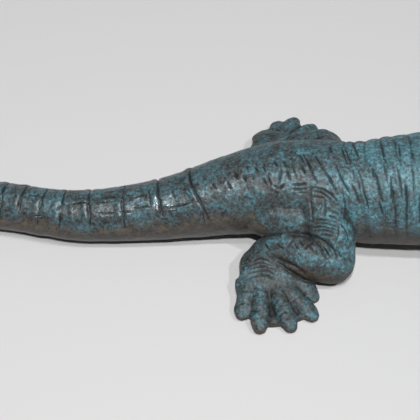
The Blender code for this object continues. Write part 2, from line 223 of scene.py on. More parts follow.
# A toe from root to tip: share of its way, then z, width and height as shares of the foot's length
TOE = (
    (0.00, 0.130, 0.150, 0.200),
    (0.35, 0.100, 0.195, 0.195),
    (0.62, 0.078, 0.200, 0.165),
    (0.80, 0.066, 0.212, 0.145),
    (0.94, 0.054, 0.150, 0.110),
)

# The tail's rings, by distance behind the hips: pitch, slant for each radian round the tail, and depth
RING_PITCH = ((28.0, 10.0), (52.0, 9.6), (62.0, 6.0), (100.0, 5.4), (178.0, 3.0))
RING_LEAN = ((20.0, 4.4), (29.0, 3.0), (39.0, 0.8), (50.0, 0.0))
RING_FADE = ((30.0, 1.0), (178.0, 0.45))
RING_SWAY = 0.25 * PART
RING_WAVER = (2.1, 1.7)
ROUND_TOP = 0.6

# How much of a ring's depth shows on the back, the angles from the back between which it fades towards
# the ground, and how much of it goes there
RING_TOP = 0.90
RING_FLANK = (0.6, 1.5)
RING_LOW = 0.92

# A low ridge along each side of the tail's back: its turn from the top, its width as an angle,
# and where it starts and ends behind the hips
RIDGE_TURN = 0.14
RIDGE_WIDTH = 0.20
RIDGE_SPAN = (0.030, 0.050, 0.130, 0.160)

# Where the carving is worn down: the size of such places, the seed of their lumps, the heights of the lumps
# between which the wear ends, and the share of the depth that is left in the worst places
RING_WEAR = (0.0032, 3, -0.7, 0.2, 0.0)
FOLD_WEAR = (0.0075, 5, -0.5, 0.3, 0.4)
STROKE_WEAR = (0.0032, 4, -0.6, 0.3, 0.45)

# The cast's own unevenness: height, size and seed
CAST_LUMPS = ((0.00012, 0.0036, 1), (0.00008, 0.0016, 2))

# The table of random heights behind all lumps: its length, the shift that keeps places positive in it,
# and the factors that scatter neighbours over it
CELLS = 65536
CELL_SHIFT = 500.0
CELL_SCATTER = (73856093, 19349663, 83492791)

# Folds on the trunk, from and to these distances ahead of the hips
FOLDED = (9.0, 92.0)
FOLD_SLANT = 1.6 * PART
FOLD_SWAY = 0.9 * PART
FOLD_WAVER = 1.6
FOLD_BEATS = (2.0, 0.6)
FOLD_NARROW = 0.65

# Angles from the back between which the folds fade, and between which the strokes' likes
# on the left side begin
FLANK = (1.4, 2.3)
LEFT_SIDE = (0.8, 1.1)

# Where creases on a leg start and end: shares of its lowest length for those at the knee and the heel,
# crease widths ahead of the hip for the groin's, which is shallower
KNEE_SPAN = (-0.2, 0.2, 0.3, 0.7)
HEEL_SPAN = (0.6, 1.0)
GROIN_SPAN = (-2.0, 2.0)
GROIN_DEPTH = 0.12

# How much of the metal the patina covers, by distance ahead of the hips
GREENER = (
    (-180.0, 0.43),
    (-60.0, 0.44),
    (-10.0, 0.44),
    (8.0, 0.47),
    (30.0, 0.70),
    (55.0, 0.82),
    (150.0, 0.66),
)

# How polished the metal is by touch there, which also scales the painted sheen, and what differs on the
# legs
POLISH = ((-180.0, 0.8), (-60.0, 1.0), (-30.0, 0.8), (0.0, 0.45), (30.0, 0.25), (150.0, 0.35))
LEG_POLISH = 0.12
LEG_BARER = 0.05

# How the skin's hollows are found: rounds of settling for a groove, for a broad basin and for the way
# the skin faces, all for one voxel size, and the depths of groove and basin that count as one
SETTLING = (6, 60, 30)
SETTLING_VOXEL = 0.00045
GROOVE_UNIT = 0.0001
BASIN_UNIT = 0.0005

# Mouth line: height at its corner, rise and length of its curve, the corner's x, and where it is deep
MOUTH_HEIGHT = 24.5
MOUTH_CURVE = 3.0
MOUTH_BEND = 8.0
MOUTH_CORNER = 60.0
MOUTH_DEEP = 63.0

# Round marks on the head: place, height as a share of the mouth's depth, then radius and width
# as shares of the eye
HEAD_MARKS = (
    (EYE, 0.6, 0.62, 0.08),
    (EYE, -0.6, 0.47, 0.06),
    (EAR, -1.3, 0.0, 0.23),
    (NOSTRIL, -0.9, 0.0, 0.11),
)

# Colours of the bronze in linear light, from bare metal to the thickest patina
PATINA = (
    (0.00, (0.018, 0.018, 0.018)),
    (0.25, (0.045, 0.049, 0.048)),
    (0.45, (0.060, 0.094, 0.103)),
    (0.65, (0.070, 0.174, 0.208)),
    (0.85, (0.112, 0.280, 0.330)),
    (1.00, (0.190, 0.385, 0.435)),
)
# Black of specks in the metal, also used as painted shade in grooves, broad hollows and on skin facing down
SPECK_AND_SHADE_BLACK = (0.010, 0.011, 0.012, 1.0)
# Grey of metal rubbed by touch, also laid on upward-facing ridges as a painted sheen
RUBBED_AND_SHEEN_GREY = (0.230, 0.235, 0.255, 1.0)
METAL_BROWN = (0.130, 0.096, 0.064, 1.0)
METAL_UMBER = (0.060, 0.049, 0.037, 1.0)

# Random patterns in the patina: size in metres, detail, roughness and twist
PATTERNS = {
    "blotch": (0.0085, 6.0, 0.66, 0.3),
    "mottle": (0.0021, 5.0, 0.72, 0.0),
    "fine": (0.0009, 3.0, 0.65, 0.0),
    "tint": (0.0120, 6.0, 0.65, 0.0),
    "speck": (0.0007, 3.0, 0.6, 0.0),
}

# How much each pattern changes how thick the patina is, and how much a basin thins and darkens it as
# painted shade
BLOTCH_COVER = 1.1
MOTTLE_COVER = 1.15
FINE_COVER = 1.55
BASIN_PAINTED_SHADE = 0.09

# How much each pattern moves the edge of the brown underside, and how much the patina holds it off
TINT_EDGE = 0.9
MOTTLE_EDGE = 0.7
GREEN_EDGE = 0.7
GREEN_MEAN = 0.47

# Steps from one state of the surface to another: the values between which each lies, and its two ends
BASIN_EDGE = (0.3, 1.2, 0.0, 0.35)
UNDERSIDE_THINS = (0.20, 0.50, 0.0, 0.25)
# Where the grey of rubbed metal and its painted sheen lie: lighter blotches, ridges, finer spots and skin
# facing up
RUBBED_SHEEN_BY_TINT = (0.46, 0.58, 0.08, 0.72)
RUBBED_SHEEN_BY_HOLLOW = (0.15, -0.5, 0.0, 1.0)
RUBBED_SHEEN_BY_FINE = (0.40, 0.58, 0.0, 1.0)
RUBBED_SHEEN_BY_LOW = (0.45, 0.20, 0.0, 1.0)
BROWN_BY_MOTTLE = (0.40, 0.62, 0.0, 1.0)
BROWN_BY_EDGE = (0.30, 0.50, 0.0, 0.9)
BLACK_BY_SPECK = (0.46, 0.34, 0.0, 0.65)
# Painted shade: black laid into grooves, broad hollows and skin that faces down
SHADE_BY_HOLLOW = (0.12, 0.95, 0.0, 0.8)
SHADE_BY_BASIN = (0.2, 1.4, 0.0, 0.55)
SHADE_BY_LOW = (0.38, 0.60, 0.0, 0.68)
ROUGH_BY_POLISH = (0.0, 1.0, 0.56, 0.33)

# What rubbing does to the shine, and the depth of the grain that is too fine for the mesh
RUBBED_METALLIC = 1.25
RUBBED_SMOOTHER = 0.14
SPECULAR = 0.5
MOTTLE_GRAIN = 0.00020
FINE_GRAIN = 0.00010

# The camera, which stands where the photographer's did, and the picture's side in pixels
LENS = 55.0
SENSOR = 22.3
CAMERA_TARGET = np.array([-73.5 * PART, 4.4 * PART, 0.0])
CAMERA_DISTANCE = 0.305
CAMERA_ELEVATION = math.radians(50.0)
PICTURE = 420
CLIP_START = 0.01
BACKWARDS = np.array([0.0, -math.cos(CAMERA_ELEVATION), math.sin(CAMERA_ELEVATION)])
CAMERA_PLACE = CAMERA_TARGET + CAMERA_DISTANCE * BACKWARDS

# The lamps: a far one lights the table evenly and a near one more towards itself. Then heading and height
# in degrees, strength, and the spread in degrees, which sets how soft the shadows are
LAMPS = {
    "front": ("SUN", -90.0, 63.0, 0.84, 2.4),
    "front_near": ("AREA", -90.0, 63.0, 0.78, 2.4),
    "top": ("SUN", -90.0, 77.0, 0.50, 2.4),
    "right": ("SUN", -22.0, 58.0, 0.68, 2.4),
    "behind": ("SUN", 90.0, 40.0, 0.16, 60.0),
}
LAMP_DISTANCE = 0.45

# The studio all round: its light, how strong it is, and how it shows beyond the table
STUDIO_LIGHT = (0.97, 0.98, 1.0, 1.0)
STUDIO_STRENGTH = 0.065
STUDIO_SHOWN = (0.70, 0.70, 0.70, 1.0)

# The table
TABLE_REACH = 8.0
TABLE_DROP = 0.0001
TABLE_COLOUR = (0.702, 0.700, 0.702, 1.0)
TABLE_ROUGHNESS = 0.6
TABLE_SPECULAR = 0.2

# Strokes cut in the wax, where the photograph shows them. Each is a line through two or more
# of its pixels, x and y from the top left corner. They are grouped by what carries them.
HIP_STROKES = (
    ((233.4, 171.0), (237.0, 178.0)),
    ((243.0, 175.0), (245.5, 180.0)),
    ((246.0, 165.0), (248.5, 170.0)),
    ((254.5, 166.0), (257.5, 171.0)),
    ((251.5, 173.5), (254.0, 180.0)),
    ((263.0, 165.5), (266.5, 174.0)),
    ((268.2, 172.0), (268.2, 178.0), (270.5, 184.5)),
    ((280.7, 169.0), (280.0, 176.0), (278.0, 183.0)),
    ((273.8, 186.0), (279.0, 188.5), (284.3, 184.0)),
    ((286.5, 170.5), (289.2, 179.0)),
    ((290.5, 161.3), (294.0, 171.0), (296.8, 179.0)),
    ((283.0, 160.0), (286.0, 166.5)),
    ((274.0, 160.0), (277.0, 166.0)),
    ((297.7, 160.4), (302.0, 167.0), (305.0, 173.5)),
    ((303.0, 154.0), (309.0, 165.0), (312.9, 174.6), (316.5, 182.0)),
    ((299.5, 154.5), (304.5, 163.0)),
    ((262.0, 178.5), (266.0, 184.0)),
    ((227.3, 182.7), (231.0, 189.0)),
)
TRUNK_STROKES = (
    ((315.5, 156.0), (323.0, 168.5), (330.0, 180.0), (337.5, 195.0)),
    ((326.0, 172.0), (332.0, 182.5)),
    ((335.2, 162.0), (339.0, 173.0), (345.0, 185.5), (351.5, 197.0)),
    ((341.5, 147.0), (345.0, 157.0), (348.5, 166.5)),
    ((344.8, 147.0), (348.0, 156.0), (351.0, 165.0)),
    ((354.5, 164.5), (359.7, 175.0), (362.6, 187.0), (365.0, 198.0)),
    ((357.0, 176.0), (360.5, 190.0)),
    ((350.5, 181.5), (356.0, 194.0), (359.0, 203.0)),
    ((373.5, 166.5), (377.0, 179.5), (379.5, 192.0), (382.7, 203.0)),
    ((371.8, 168.0), (374.5, 179.0)),
    ((383.3, 162.0), (385.8, 173.0), (388.5, 187.0)),
    ((395.9, 163.0), (398.8, 175.0), (401.2, 190.0), (402.5, 201.0)),
    ((411.4, 165.0), (413.5, 178.0), (413.5, 191.0)),
    ((364.5, 193.0), (369.0, 209.0)),
    ((379.5, 202.0), (382.7, 214.0)),
    ((329.3, 147.0), (331.5, 152.5)),
    ((354.0, 145.0), (356.3, 152.0), (359.0, 158.0)),
    ((398.5, 145.0), (401.0, 158.0)),
    ((382.0, 147.0), (384.0, 157.0)),
    ((389.5, 176.0), (391.5, 190.0), (393.0, 205.0)),
    ((405.5, 186.0), (407.5, 205.0)),
)
TAIL_STROKES = (
    ((148.5, 190.0), (149.8, 198.0), (150.8, 206.0)),
    ((169.3, 185.0), (172.0, 191.5), (174.8, 198.0)),
    ((186.8, 186.5), (190.7, 194.5)),
    ((208.6, 178.0), (212.0, 183.5), (216.0, 189.0)),
    ((203.0, 212.0), (205.0, 224.0)),
    ((72.8, 199.2), (82.0, 198.2), (91.0, 197.7)),
    ((96.5, 198.7), (110.0, 198.0), (124.0, 197.0)),
    ((130.0, 198.0), (146.0, 195.0)),
    ((159.5, 189.3), (168.4, 187.3)),
    ((71.8, 203.2), (90.0, 202.2)),
    ((97.5, 202.5), (124.0, 200.3)),
    ((98.0, 213.8), (115.0, 213.8)),
    ((118.0, 213.0), (129.0, 211.8)),
    ((169.5, 208.5), (180.0, 206.0), (190.5, 203.0)),
    ((30.5, 216.0), (42.0, 215.2)),
    ((30.0, 195.5), (45.0, 197.2)),
    ((133.0, 208.5), (150.0, 206.0)),
)
THIGH_STROKES = (
    ((309.3, 186.5), (309.5, 197.0), (311.0, 208.0), (312.2, 222.0)),
    ((311.0, 188.0), (311.8, 205.0), (313.3, 219.0)),
    ((292.3, 184.6), (299.0, 184.6), (306.0, 183.6)),
    ((293.0, 189.2), (300.0, 189.4), (307.5, 188.2)),
    ((298.5, 193.0), (307.5, 192.0)),
    ((312.9, 187.5), (322.7, 189.5), (330.0, 194.0), (337.0, 201.0)),
    ((312.0, 191.8), (321.0, 193.0), (328.0, 198.0)),
    ((312.9, 197.0), (323.5, 198.0)),
    ((324.5, 197.9), (325.4, 207.0), (325.4, 218.4)),
    ((327.0, 206.0), (332.0, 210.0), (339.0, 213.5)),
    ((313.8, 220.3), (324.5, 219.8), (336.0, 222.0)),
    ((313.8, 223.9), (324.5, 223.4), (337.2, 226.4)),
    ((311.5, 227.6), (323.6, 226.8), (337.5, 230.0)),
    ((311.0, 231.3), (323.6, 230.2), (336.5, 234.4)),
    ((320.0, 235.6), (327.0, 235.2), (334.5, 236.6)),
    ((338.8, 226.5), (339.0, 233.0), (337.0, 240.0)),
    ((341.0, 224.0), (346.5, 231.0), (348.0, 239.0)),
    ((328.0, 215.0), (337.0, 218.0)),
)
LEG_FOLDS = (
    ((309.0, 235.0), (315.0, 237.5), (329.0, 246.0), (337.0, 254.0), (340.5, 260.0)),
    ((270.0, 256.5), (277.0, 258.0), (285.0, 262.0), (298.6, 269.3), (306.0, 275.0)),
)
SHANK_STROKES = (
    ((294.0, 243.4), (297.7, 249.0)),
    ((304.0, 249.0), (311.2, 242.5)),
    ((308.4, 244.3), (314.8, 251.8)),
    ((286.0, 248.5), (291.5, 241.0)),
    ((299.0, 240.5), (303.0, 246.0)),
    ((320.0, 247.5), (323.5, 253.0), (327.0, 259.5)),
    ((323.0, 246.5), (326.5, 252.0), (330.0, 257.5)),
    ((327.5, 246.0), (331.5, 252.0), (335.0, 258.5)),
    ((331.0, 246.0), (335.0, 252.5), (338.0, 260.5)),
    ((334.5, 245.5), (339.0, 252.0), (342.5, 260.0)),
    ((314.5, 247.5), (318.5, 255.5)),
    ((264.6, 243.4), (267.5, 247.5)),
    ((277.0, 244.3), (283.5, 249.0)),
    ((297.0, 252.0), (301.5, 257.5)),
)
FOOT_STROKES = (
    ((253.5, 260.5), (259.0, 257.8), (266.0, 259.5), (272.5, 264.5)),
    ((251.5, 264.8), (258.0, 262.2), (266.0, 263.0), (274.0, 268.0)),
    ((250.0, 269.2), (257.5, 266.5), (267.0, 266.8), (276.0, 270.8)),
    ((248.0, 273.5), (256.5, 270.6), (267.0, 270.8), (277.0, 274.5)),
    ((242.5, 281.0), (250.0, 278.3), (259.5, 275.3), (268.0, 276.0), (275.0, 279.5)),
    ((243.5, 259.5), (250.0, 256.0)),
    ((242.0, 265.0), (247.0, 262.0)),
    ((253.3, 296.2), (257.0, 295.2), (261.2, 295.8)),
    ((253.6, 288.5), (260.8, 288.2)),
    ((252.5, 311.0), (258.0, 312.0)),
    ((272.0, 294.8), (278.8, 291.4)),
    ((275.0, 301.4), (282.0, 298.0)),
    ((277.5, 308.0), (285.0, 304.2)),
    ((281.0, 314.2), (289.0, 309.6)),
    ((284.8, 320.4), (291.0, 316.5)),
    ((291.0, 303.5), (296.5, 298.5)),
    ((298.0, 309.8), (303.5, 305.0)),
    ((303.0, 297.0), (307.0, 291.5)),
    ((240.0, 292.0), (246.5, 290.5)),
    ((238.5, 304.0), (245.5, 303.0)),
)

# How a stroke runs: pixels between its points and the fewest points, the share of its length where
# its ends stop getting shallower, and its lips' distance and reach in widths and height in depths
MARK_SPACING = 3
FEWEST_MARKS = 3
STROKE_END = 0.04
LIP_AWAY = 2.1
LIP_REACH = 2
LIP_RISE = 0.25

# Depth and width of the strokes in each group
STROKE_CUT = {
    "hip": (HIP_STROKES, 0.00050, 0.00029),
    "trunk": (TRUNK_STROKES, 0.00054, 0.00028),
    "tail": (TAIL_STROKES, 0.00030, 0.00026),
    "thigh": (THIGH_STROKES, 0.00046, 0.00026),
    "folds": (LEG_FOLDS, 0.00090, 0.00065),
    "shank": (SHANK_STROKES, 0.00048, 0.00026),
    "foot": (FOOT_STROKES, 0.00032, 0.00028),
}

Form = namedtuple("Form", "at centre along across up half")
Leg = namedtuple("Leg", "forms side shift foot")
Foot = namedtuple("Foot", "ankle heading side spread length")


def unit(vectors):
    """The same directions with length one."""
    return vectors / np.linalg.norm(vectors, axis=-1, keepdims=True)


def flow(knots, values, at):
    """The smooth curve through values at the knots, read at each place in at."""
    slopes = np.gradient(values, knots, axis=0)
    i = np.clip(np.searchsorted(knots, at, side="right") - 1, 0, len(knots) - 2)
    span = (knots[i + 1] - knots[i])[:, None]
    t = (at - knots[i])[:, None] / span
    return (
        values[i] * (1 + 2 * t) * (1 - t) ** 2
        + slopes[i] * span * t * (1 - t) ** 2
        + values[i + 1] * t**2 * (3 - 2 * t)
        + slopes[i + 1] * span * t**2 * (t - 1)
    )


def way_along(points):
    """Distance of each point from the first, along the line through them."""
    return np.append(0.0, np.cumsum(np.linalg.norm(np.diff(points, axis=0), axis=1)))


def swept(points, widths, heights, steps=28):
    """The form whose oval sections follow the smooth line through points."""
    points = np.asarray(points, float)
    knots = way_along(points)
    at = np.linspace(0.0, knots[-1], steps)
    flowing = flow(knots, np.column_stack([points, widths, heights]), at)
    centre, half = flowing[:, :3], flowing[:, 3:] / 2
    along = unit(np.gradient(centre, at, axis=0))
    across = unit(np.cross(along, UP))
    return Form(at, centre, along, across, np.cross(across, along), half)


def body_form():
    """Trunk and tail, which lie on the ground and sink into it a little."""
    x, y, width, height = np.array(SPINE).T
    tall = height * GIRTH + BELLY_SINK * width / 100
    centre = np.column_stack([x * PART, y * PART, height * GIRTH - tall / 2])
    return swept(centre, width * GIRTH, tall, steps=BODY_STEPS)


def head_form(table):
    """A mass of the head."""
    x, y, z, width, height = np.array(table).T
    return swept(np.column_stack([x * PART, y * PART, z * GIRTH]), width * GIRTH, height * GIRTH)


def beside_head(skull, x, out, z):
    """A place on one side of the head: out is positive on the right."""
    middle = np.interp(x * PART, skull.centre[:, 0], skull.centre[:, 1])
    return np.array([x * PART, middle - out * GIRTH, z * GIRTH])


def side_form(table, skull, side):
    """A mass on one side of the head."""
    centre = [beside_head(skull, x, side * out, z) for x, out, z in np.array(table)[:, :3]]
    width, height = np.array(table).T[3:] * GIRTH
    return swept(centre, width, height)


def leg_form(table, side, shift):
    """One length of a leg, on the right side as tabled or mirrored and shifted to the left."""
    x, y, z, width, height = np.array(table).T
    places = np.column_stack([(x + shift[0]) * PART, (side * y + shift[1]) * PART, z * LIMB])
    return swept(places, width * LIMB, height * LIMB)


def reach_out(foot, turn, reach):
    """Places on a foot's plan: turns in degrees from its heading, shares of its length from the ankle."""
    a = np.radians(foot.heading + foot.side * foot.spread * np.asarray(turn))
    return foot.ankle[:2] + np.column_stack([np.cos(a) * reach, np.sin(a) * reach]) * foot.length


def toe_forms(foot):
    """The five toes of a foot, from the outer one."""
    way, z, width, height = np.array(TOE).T
    forms = []
    for tip, root, reach in TOES:
        start, end = reach_out(foot, (root, tip), (TOE_ROOT, reach))
        places = np.column_stack([start + way[:, None] * (end - start), z * foot.length])
        forms.append(swept(places, width * foot.length, height * foot.length))
    return forms


def gap_forms(foot):
    """The flesh that nearly fills the outermost gaps between the toes of a foot."""
    forms = []
    for one, two, height in zip(TOES, TOES[1:], GAP_HEIGHTS):
        if height:
            end = (one[2] + two[2]) / 2 * WEB_REACH - height / 2
            reaches = np.linspace(GAP_START, end, len(GAP_FALL))
            plan = reach_out(foot, np.full(len(GAP_FALL), (one[0] + two[0]) / 2), reaches)
            rise = np.array(GAP_FALL) * height * foot.length
            forms.append(swept(np.column_stack([plan, rise / 2]), np.array(GAP_WIDTHS) * foot.length, rise))
    return forms


def palm_form(foot):
    """The palm, from the ankle forwards."""
    turn, forward, z, width, height = np.array(PALM).T
    places = np.column_stack([reach_out(foot, turn, forward), z * foot.length])
    return swept(places, width * foot.length, height * foot.length)


def add_form(bm, form, sides=24, dome_steps=5):
    """A closed skin over a form, with a dome at each end."""
    turn = np.linspace(0.0, 2 * math.pi, sides, endpoint=False)
    rise = np.linspace(DOME_START, math.pi / 2, dome_steps, endpoint=False)
    sections = []
    for a in rise:
        sections.append((0, -math.cos(a), math.sin(a)))
    for row in range(len(form.at)):
        sections.append((row, 0.0, 1.0))
    for a in rise[::-1]:
        sections.append((-1, math.cos(a), math.sin(a)))
    rings = []
    for row, ahead, share in sections:
        width, height = form.half[row]
        centre = form.centre[row] + form.along[row] * ahead * min(width, height)
        rings.append([])
        for a in turn:
            out = form.across[row] * width * math.sin(a) + form.up[row] * height * math.cos(a)
            rings[-1].append(bm.verts.new(centre + out * share))
    for one, two in zip(rings, rings[1:]):
        for k in range(sides):
            bm.faces.new((one[k - 1], one[k], two[k], two[k - 1]))
    bm.faces.new(rings[0])
    bm.faces.new(rings[-1][::-1])


def add_web(bm, foot):
    """The thin skin between the toes of a foot."""
    tips = np.array(TOES)[:, ::2]
    gaps = (tips[:-1] + tips[1:]) / 2
    rim = np.empty((2 * len(TOES), 2))
    rim[0] = 0.0, WEB_HEEL
    rim[1::2] = tips
    rim[2::2] = gaps
    rim[1:, 1] *= WEB_REACH
    low = [bm.verts.new((x, y, -WEB_SUNK * WEB_THICKNESS)) for x, y in reach_out(foot, *rim.T)]
    face = bm.faces.new(low)
    lifted = bmesh.ops.extrude_face_region(bm, geom=[face], use_keep_orig=True)["geom"]
    high = [v for v in lifted if isinstance(v, bmesh.types.BMVert)]
    bmesh.ops.translate(bm, verts=high, vec=(0.0, 0.0, (1 + WEB_SUNK) * WEB_THICKNESS))


def nearest(places, line):
    """The row of the line's point that is nearest to each place."""
    rows = []
    for block in np.array_split(places, len(places) // BLOCK + 1):
        rows.append(np.argmin((line**2).sum(axis=1) - 2 * block @ line.T, axis=1))
    return np.concatenate(rows)


def chart(form, places):
    """For each place: its distance along the form, angle round it from the top, and height off it."""
    row = nearest(places, form.centre)
    offset = places - form.centre[row]
    ahead = (offset * form.along[row]).sum(axis=1)
    side = (offset * form.across[row]).sum(axis=1) / form.half[row, 0]
    rise = (offset * form.up[row]).sum(axis=1) / form.half[row, 1]
    mean = form.half[row].mean(axis=1)
    beyond = np.maximum(np.abs(ahead) - (form.at[1] - form.at[0]), 0.0) / mean
    off = (np.sqrt(side**2 + rise**2 + beyond**2) - 1) * mean
    return form.at[row] + ahead, np.arctan2(side, rise), off


def line(distance, width):
    """A soft line: one at distance zero, falling to nothing over the width."""
    return np.exp(-((distance / width) ** 2))


def on(off, reach):
    """One on a form's own skin, falling to nothing away from it."""
    return np.exp(-((np.maximum(np.abs(off) - reach / 2, 0.0) / reach) ** 2))


def fade(value, start, end):
    """A smooth step from nothing at start to one at end."""
    t = np.clip((value - start) / (end - start), 0.0, 1.0)
    return t * t * (3 - 2 * t)


def ring_places():
    """Distance behind the hips of each ring on the tail."""
    behind, pitch = np.array(RING_PITCH).T * PART
    places = [behind[0]]
    while places[-1] < behind[-1]:
        places.append(places[-1] + np.interp(places[-1], behind, pitch))
    return places


def carve_rings(behind, turn):
    """Rings on the tail, each a groove behind which the skin swells, and a low ridge on either side."""
    cut = np.zeros(len(behind))
    place, slant = np.array(RING_LEAN).T * PART
    lean = np.interp(behind, place, slant) * (np.hypot(turn, ROUND_TOP) - ROUND_TOP)
    place, share = np.array(RING_FADE).T
    for k, ring in enumerate(ring_places()):
        sway = RING_SWAY * np.sin(RING_WAVER[0] * turn + RING_WAVER[1] * k)
        distance = ring - behind - lean - sway
        swell = line(np.minimum(distance + SWELL_WIDTH, 0.0), SWELL_WIDTH / 2)
        swell *= line(np.maximum(distance + SWELL_WIDTH, 0.0), SWELL_WIDTH)
        height = SWELL_RISE * swell - RING_DEPTH * line(distance, RING_WIDTH)
        cut += height * np.interp(ring / PART, place, share)
    ridge = line(np.abs(turn) - RIDGE_TURN, RIDGE_WIDTH)
    cut += RIDGE_RISE * ridge * fade(behind, *RIDGE_SPAN[:2]) * (1 - fade(behind, *RIDGE_SPAN[2:]))
    shown = RING_TOP + (1 - RING_TOP) * fade(np.abs(turn), 0.0, RING_FLANK[0])
    return cut * shown * (1 - RING_LOW * fade(np.abs(turn), *RING_FLANK))


def carve_folds(ahead, turn):
    """Folds round the trunk, wavering and slanting back towards the belly."""
    start, end = FOLDED[0] * PART, FOLDED[1] * PART
    wave = ahead - FOLD_SLANT * np.abs(turn)
    wave += FOLD_SWAY * np.sin(FOLD_WAVER * turn + ahead / (FOLD_BEATS[0] * FOLD_SPACING))
    wave += FOLD_SWAY / 2 * np.sin(ahead / (FOLD_BEATS[1] * FOLD_SPACING))
    folds = np.cos(2 * math.pi * wave / FOLD_SPACING)
    where = fade(ahead, start, start + 2 * FOLD_SPACING) * (1 - fade(ahead, end, end + 2 * FOLD_SPACING))
    where *= 1 - fade(np.abs(turn), *FLANK)
    return FOLD_DEPTH * ((1 - FOLD_NARROW) * folds - FOLD_NARROW * np.maximum(-folds, 0.0) ** 2) * where


def carve_body(body, places):
    """All carving on trunk and tail, as heights over their skin."""
    at, turn, off = chart(body, places)
    ahead = at - np.interp(HIPS * PART, body.centre[:, 0], body.at)
    rings = carve_rings(-ahead, turn) * left_by_wear(places, *RING_WEAR)
    folds = carve_folds(ahead, turn) * left_by_wear(places, *FOLD_WEAR)
    return (rings + folds) * on(off, 2 * RING_DEPTH)


def carve_leg(forms, body, places):
    """Creases where a leg leaves the trunk in front and where its lowest length meets what is round it."""
    *upper, lowest, palm = [chart(form, places)[2] for form in forms]
    above = np.min(upper, axis=0)
    down = chart(forms[-2], places)[0] / forms[-2].at[-1]
    cut = line(above - lowest, CREASE_WIDTH) * on(above, CREASE_WIDTH)
    cut *= fade(down, *KNEE_SPAN[:2]) * (1 - fade(down, *KNEE_SPAN[2:]))
    cut += line(lowest - palm, CREASE_WIDTH) * on(lowest, CREASE_WIDTH) * (1 - fade(down, *HEEL_SPAN))
    ahead = (places[:, 0] - forms[0].centre[:, 0].mean()) / CREASE_WIDTH
    groin = line(chart(body, places)[2] - upper[0], 2 * CREASE_WIDTH) * on(upper[0], CREASE_WIDTH)
    return -CREASE_DEPTH * (cut + GROIN_DEPTH * groin * fade(ahead, *GROIN_SPAN))


def carve_head(skull, places):
    """Mouth, eyelids, ears and nostrils."""
    cut = np.zeros(len(places))
    x = places[:, 0] / PART
    mouth = (MOUTH_HEIGHT + MOUTH_CURVE * np.sin((x - MOUTH_CORNER) / MOUTH_BEND)) * GIRTH
    front = fade(x, MOUTH_CORNER, MOUTH_DEEP)
    cut -= MOUTH_DEPTH * line(places[:, 2] - mouth, MOUTH_DEPTH) * front
    for side in (1, -1):
        for spot, depth, ring, width in HEAD_MARKS:
            centre = beside_head(skull, spot[0], side * spot[1], spot[2])
            far = np.linalg.norm(places - centre, axis=1)
            cut += depth * MOUTH_DEPTH * line(far - ring * EYE_DIAMETER, width * EYE_DIAMETER)
    return cut


def lumps(places, size, seed):
    """Smooth random heights between -1 and 1, with lumps of the given size."""
    cells = np.random.default_rng(seed).uniform(-1.0, 1.0, CELLS)
    spot = places / size + CELL_SHIFT
    corner = np.floor(spot).astype(np.int64)
    part = spot - corner
    part = part * part * (3 - 2 * part)
    total = np.zeros(len(places))
    for dx in (0, 1):
        for dy in (0, 1):
            for dz in (0, 1):
                x, y, z = ((corner + (dx, dy, dz)) * CELL_SCATTER).T
                share = np.abs(np.array((1 - dx, 1 - dy, 1 - dz)) - part)
                total += cells[(x ^ y ^ z) % CELLS] * (share[:, 0] * share[:, 1] * share[:, 2])
    return total


def left_by_wear(places, size, seed, start, end, least):
    """The share of the carving's depth that wear has left at each place."""
    return least + (1 - least) * fade(lumps(places, size, seed), start, end)


def sight(pixel):
    """The direction in which the camera sees a pixel of the photograph."""
    x, y = (np.array(pixel) - PICTURE / 2) * SENSOR / LENS / PICTURE
    right = np.cross(-BACKWARDS, UP) / math.cos(CAMERA_ELEVATION)
    return Vector(-BACKWARDS + right * x - np.cross(right, -BACKWARDS) * y)


def routes_on(tree, strokes):
    """Where strokes of the photograph lie on the skin."""
    routes = []
    for stroke in strokes:
        pixels = np.array(stroke)
        way = way_along(pixels)
        marks = flow(way, pixels, np.linspace(0.0, way[-1], FEWEST_MARKS + int(way[-1] / MARK_SPACING)))
        hits = [tree.ray_cast(Vector(CAMERA_PLACE), sight(pixel))[0] for pixel in marks]
        hits = [hit for hit in hits if hit is not None]
        if len(hits) > 1:
            routes.append(np.array(hits))
    return routes


def off_route(places, route):
    """For each place: its distance from the route, and the share of the route passed there."""
    start, step = route[:-1], np.diff(route, axis=0)
    from_start = places[:, None] - start
    t = np.clip((from_start * step).sum(axis=2) / (step**2).sum(axis=1), 0.0, 1.0)
    gap = np.linalg.norm(from_start - t[:, :, None] * step, axis=2)
    best = np.argmin(gap, axis=1)
    rows = np.arange(len(places))
    return gap[rows, best], (best + t[rows, best]) / len(step)


def carve_strokes(places, routes, depth, width):
    """Grooves with low lips along the routes, shallow at their ends."""
    cut = np.zeros(len(places))
    reach = (LIP_AWAY + LIP_REACH) * width
    for route in routes:
        inside = (places > route.min(axis=0) - reach) & (places < route.max(axis=0) + reach)
        near = np.flatnonzero(inside.all(axis=1))
        if len(near):
            distance, share = off_route(places[near], route)
            taper = np.sqrt(np.sin(math.pi * np.clip(share, STROKE_END, 1 - STROKE_END)))
            lips = line(distance - LIP_AWAY * width, width)
            cut[near] += depth * taper * (LIP_RISE * lips - line(distance, width))
    return cut


def across_body(body, places):
    """Each place's like on the other side of the body."""
    row = nearest(places, body.centre)
    side = ((places - body.centre[row]) * body.across[row]).sum(axis=1)
    return places - 2 * side[:, None] * body.across[row]


def as_right_leg(leg, places):
    """Each place on a left leg as its like on the right one."""
    shift = np.array([*leg.shift, 0.0]) * PART
    return (places - shift) * (1, leg.side, 1)


def as_right_foot(foot, right, places):
    """Each place on a foot as its like on the right hind foot."""
    scale = right.length / foot.length
    turned = (places[:, :2] - foot.ankle[:2]) @ rotation(foot.heading) * (1, foot.side)
    plan = right.ankle[:2] + turned @ rotation(right.heading).T * scale
    return np.column_stack([plan, places[:, 2] * scale])


def rotation(degrees):
    """The matrix whose rows are the plan's axes turned by so many degrees."""
    a = math.radians(degrees)
    return np.array([[math.cos(a), -math.sin(a)], [math.sin(a), math.cos(a)]])


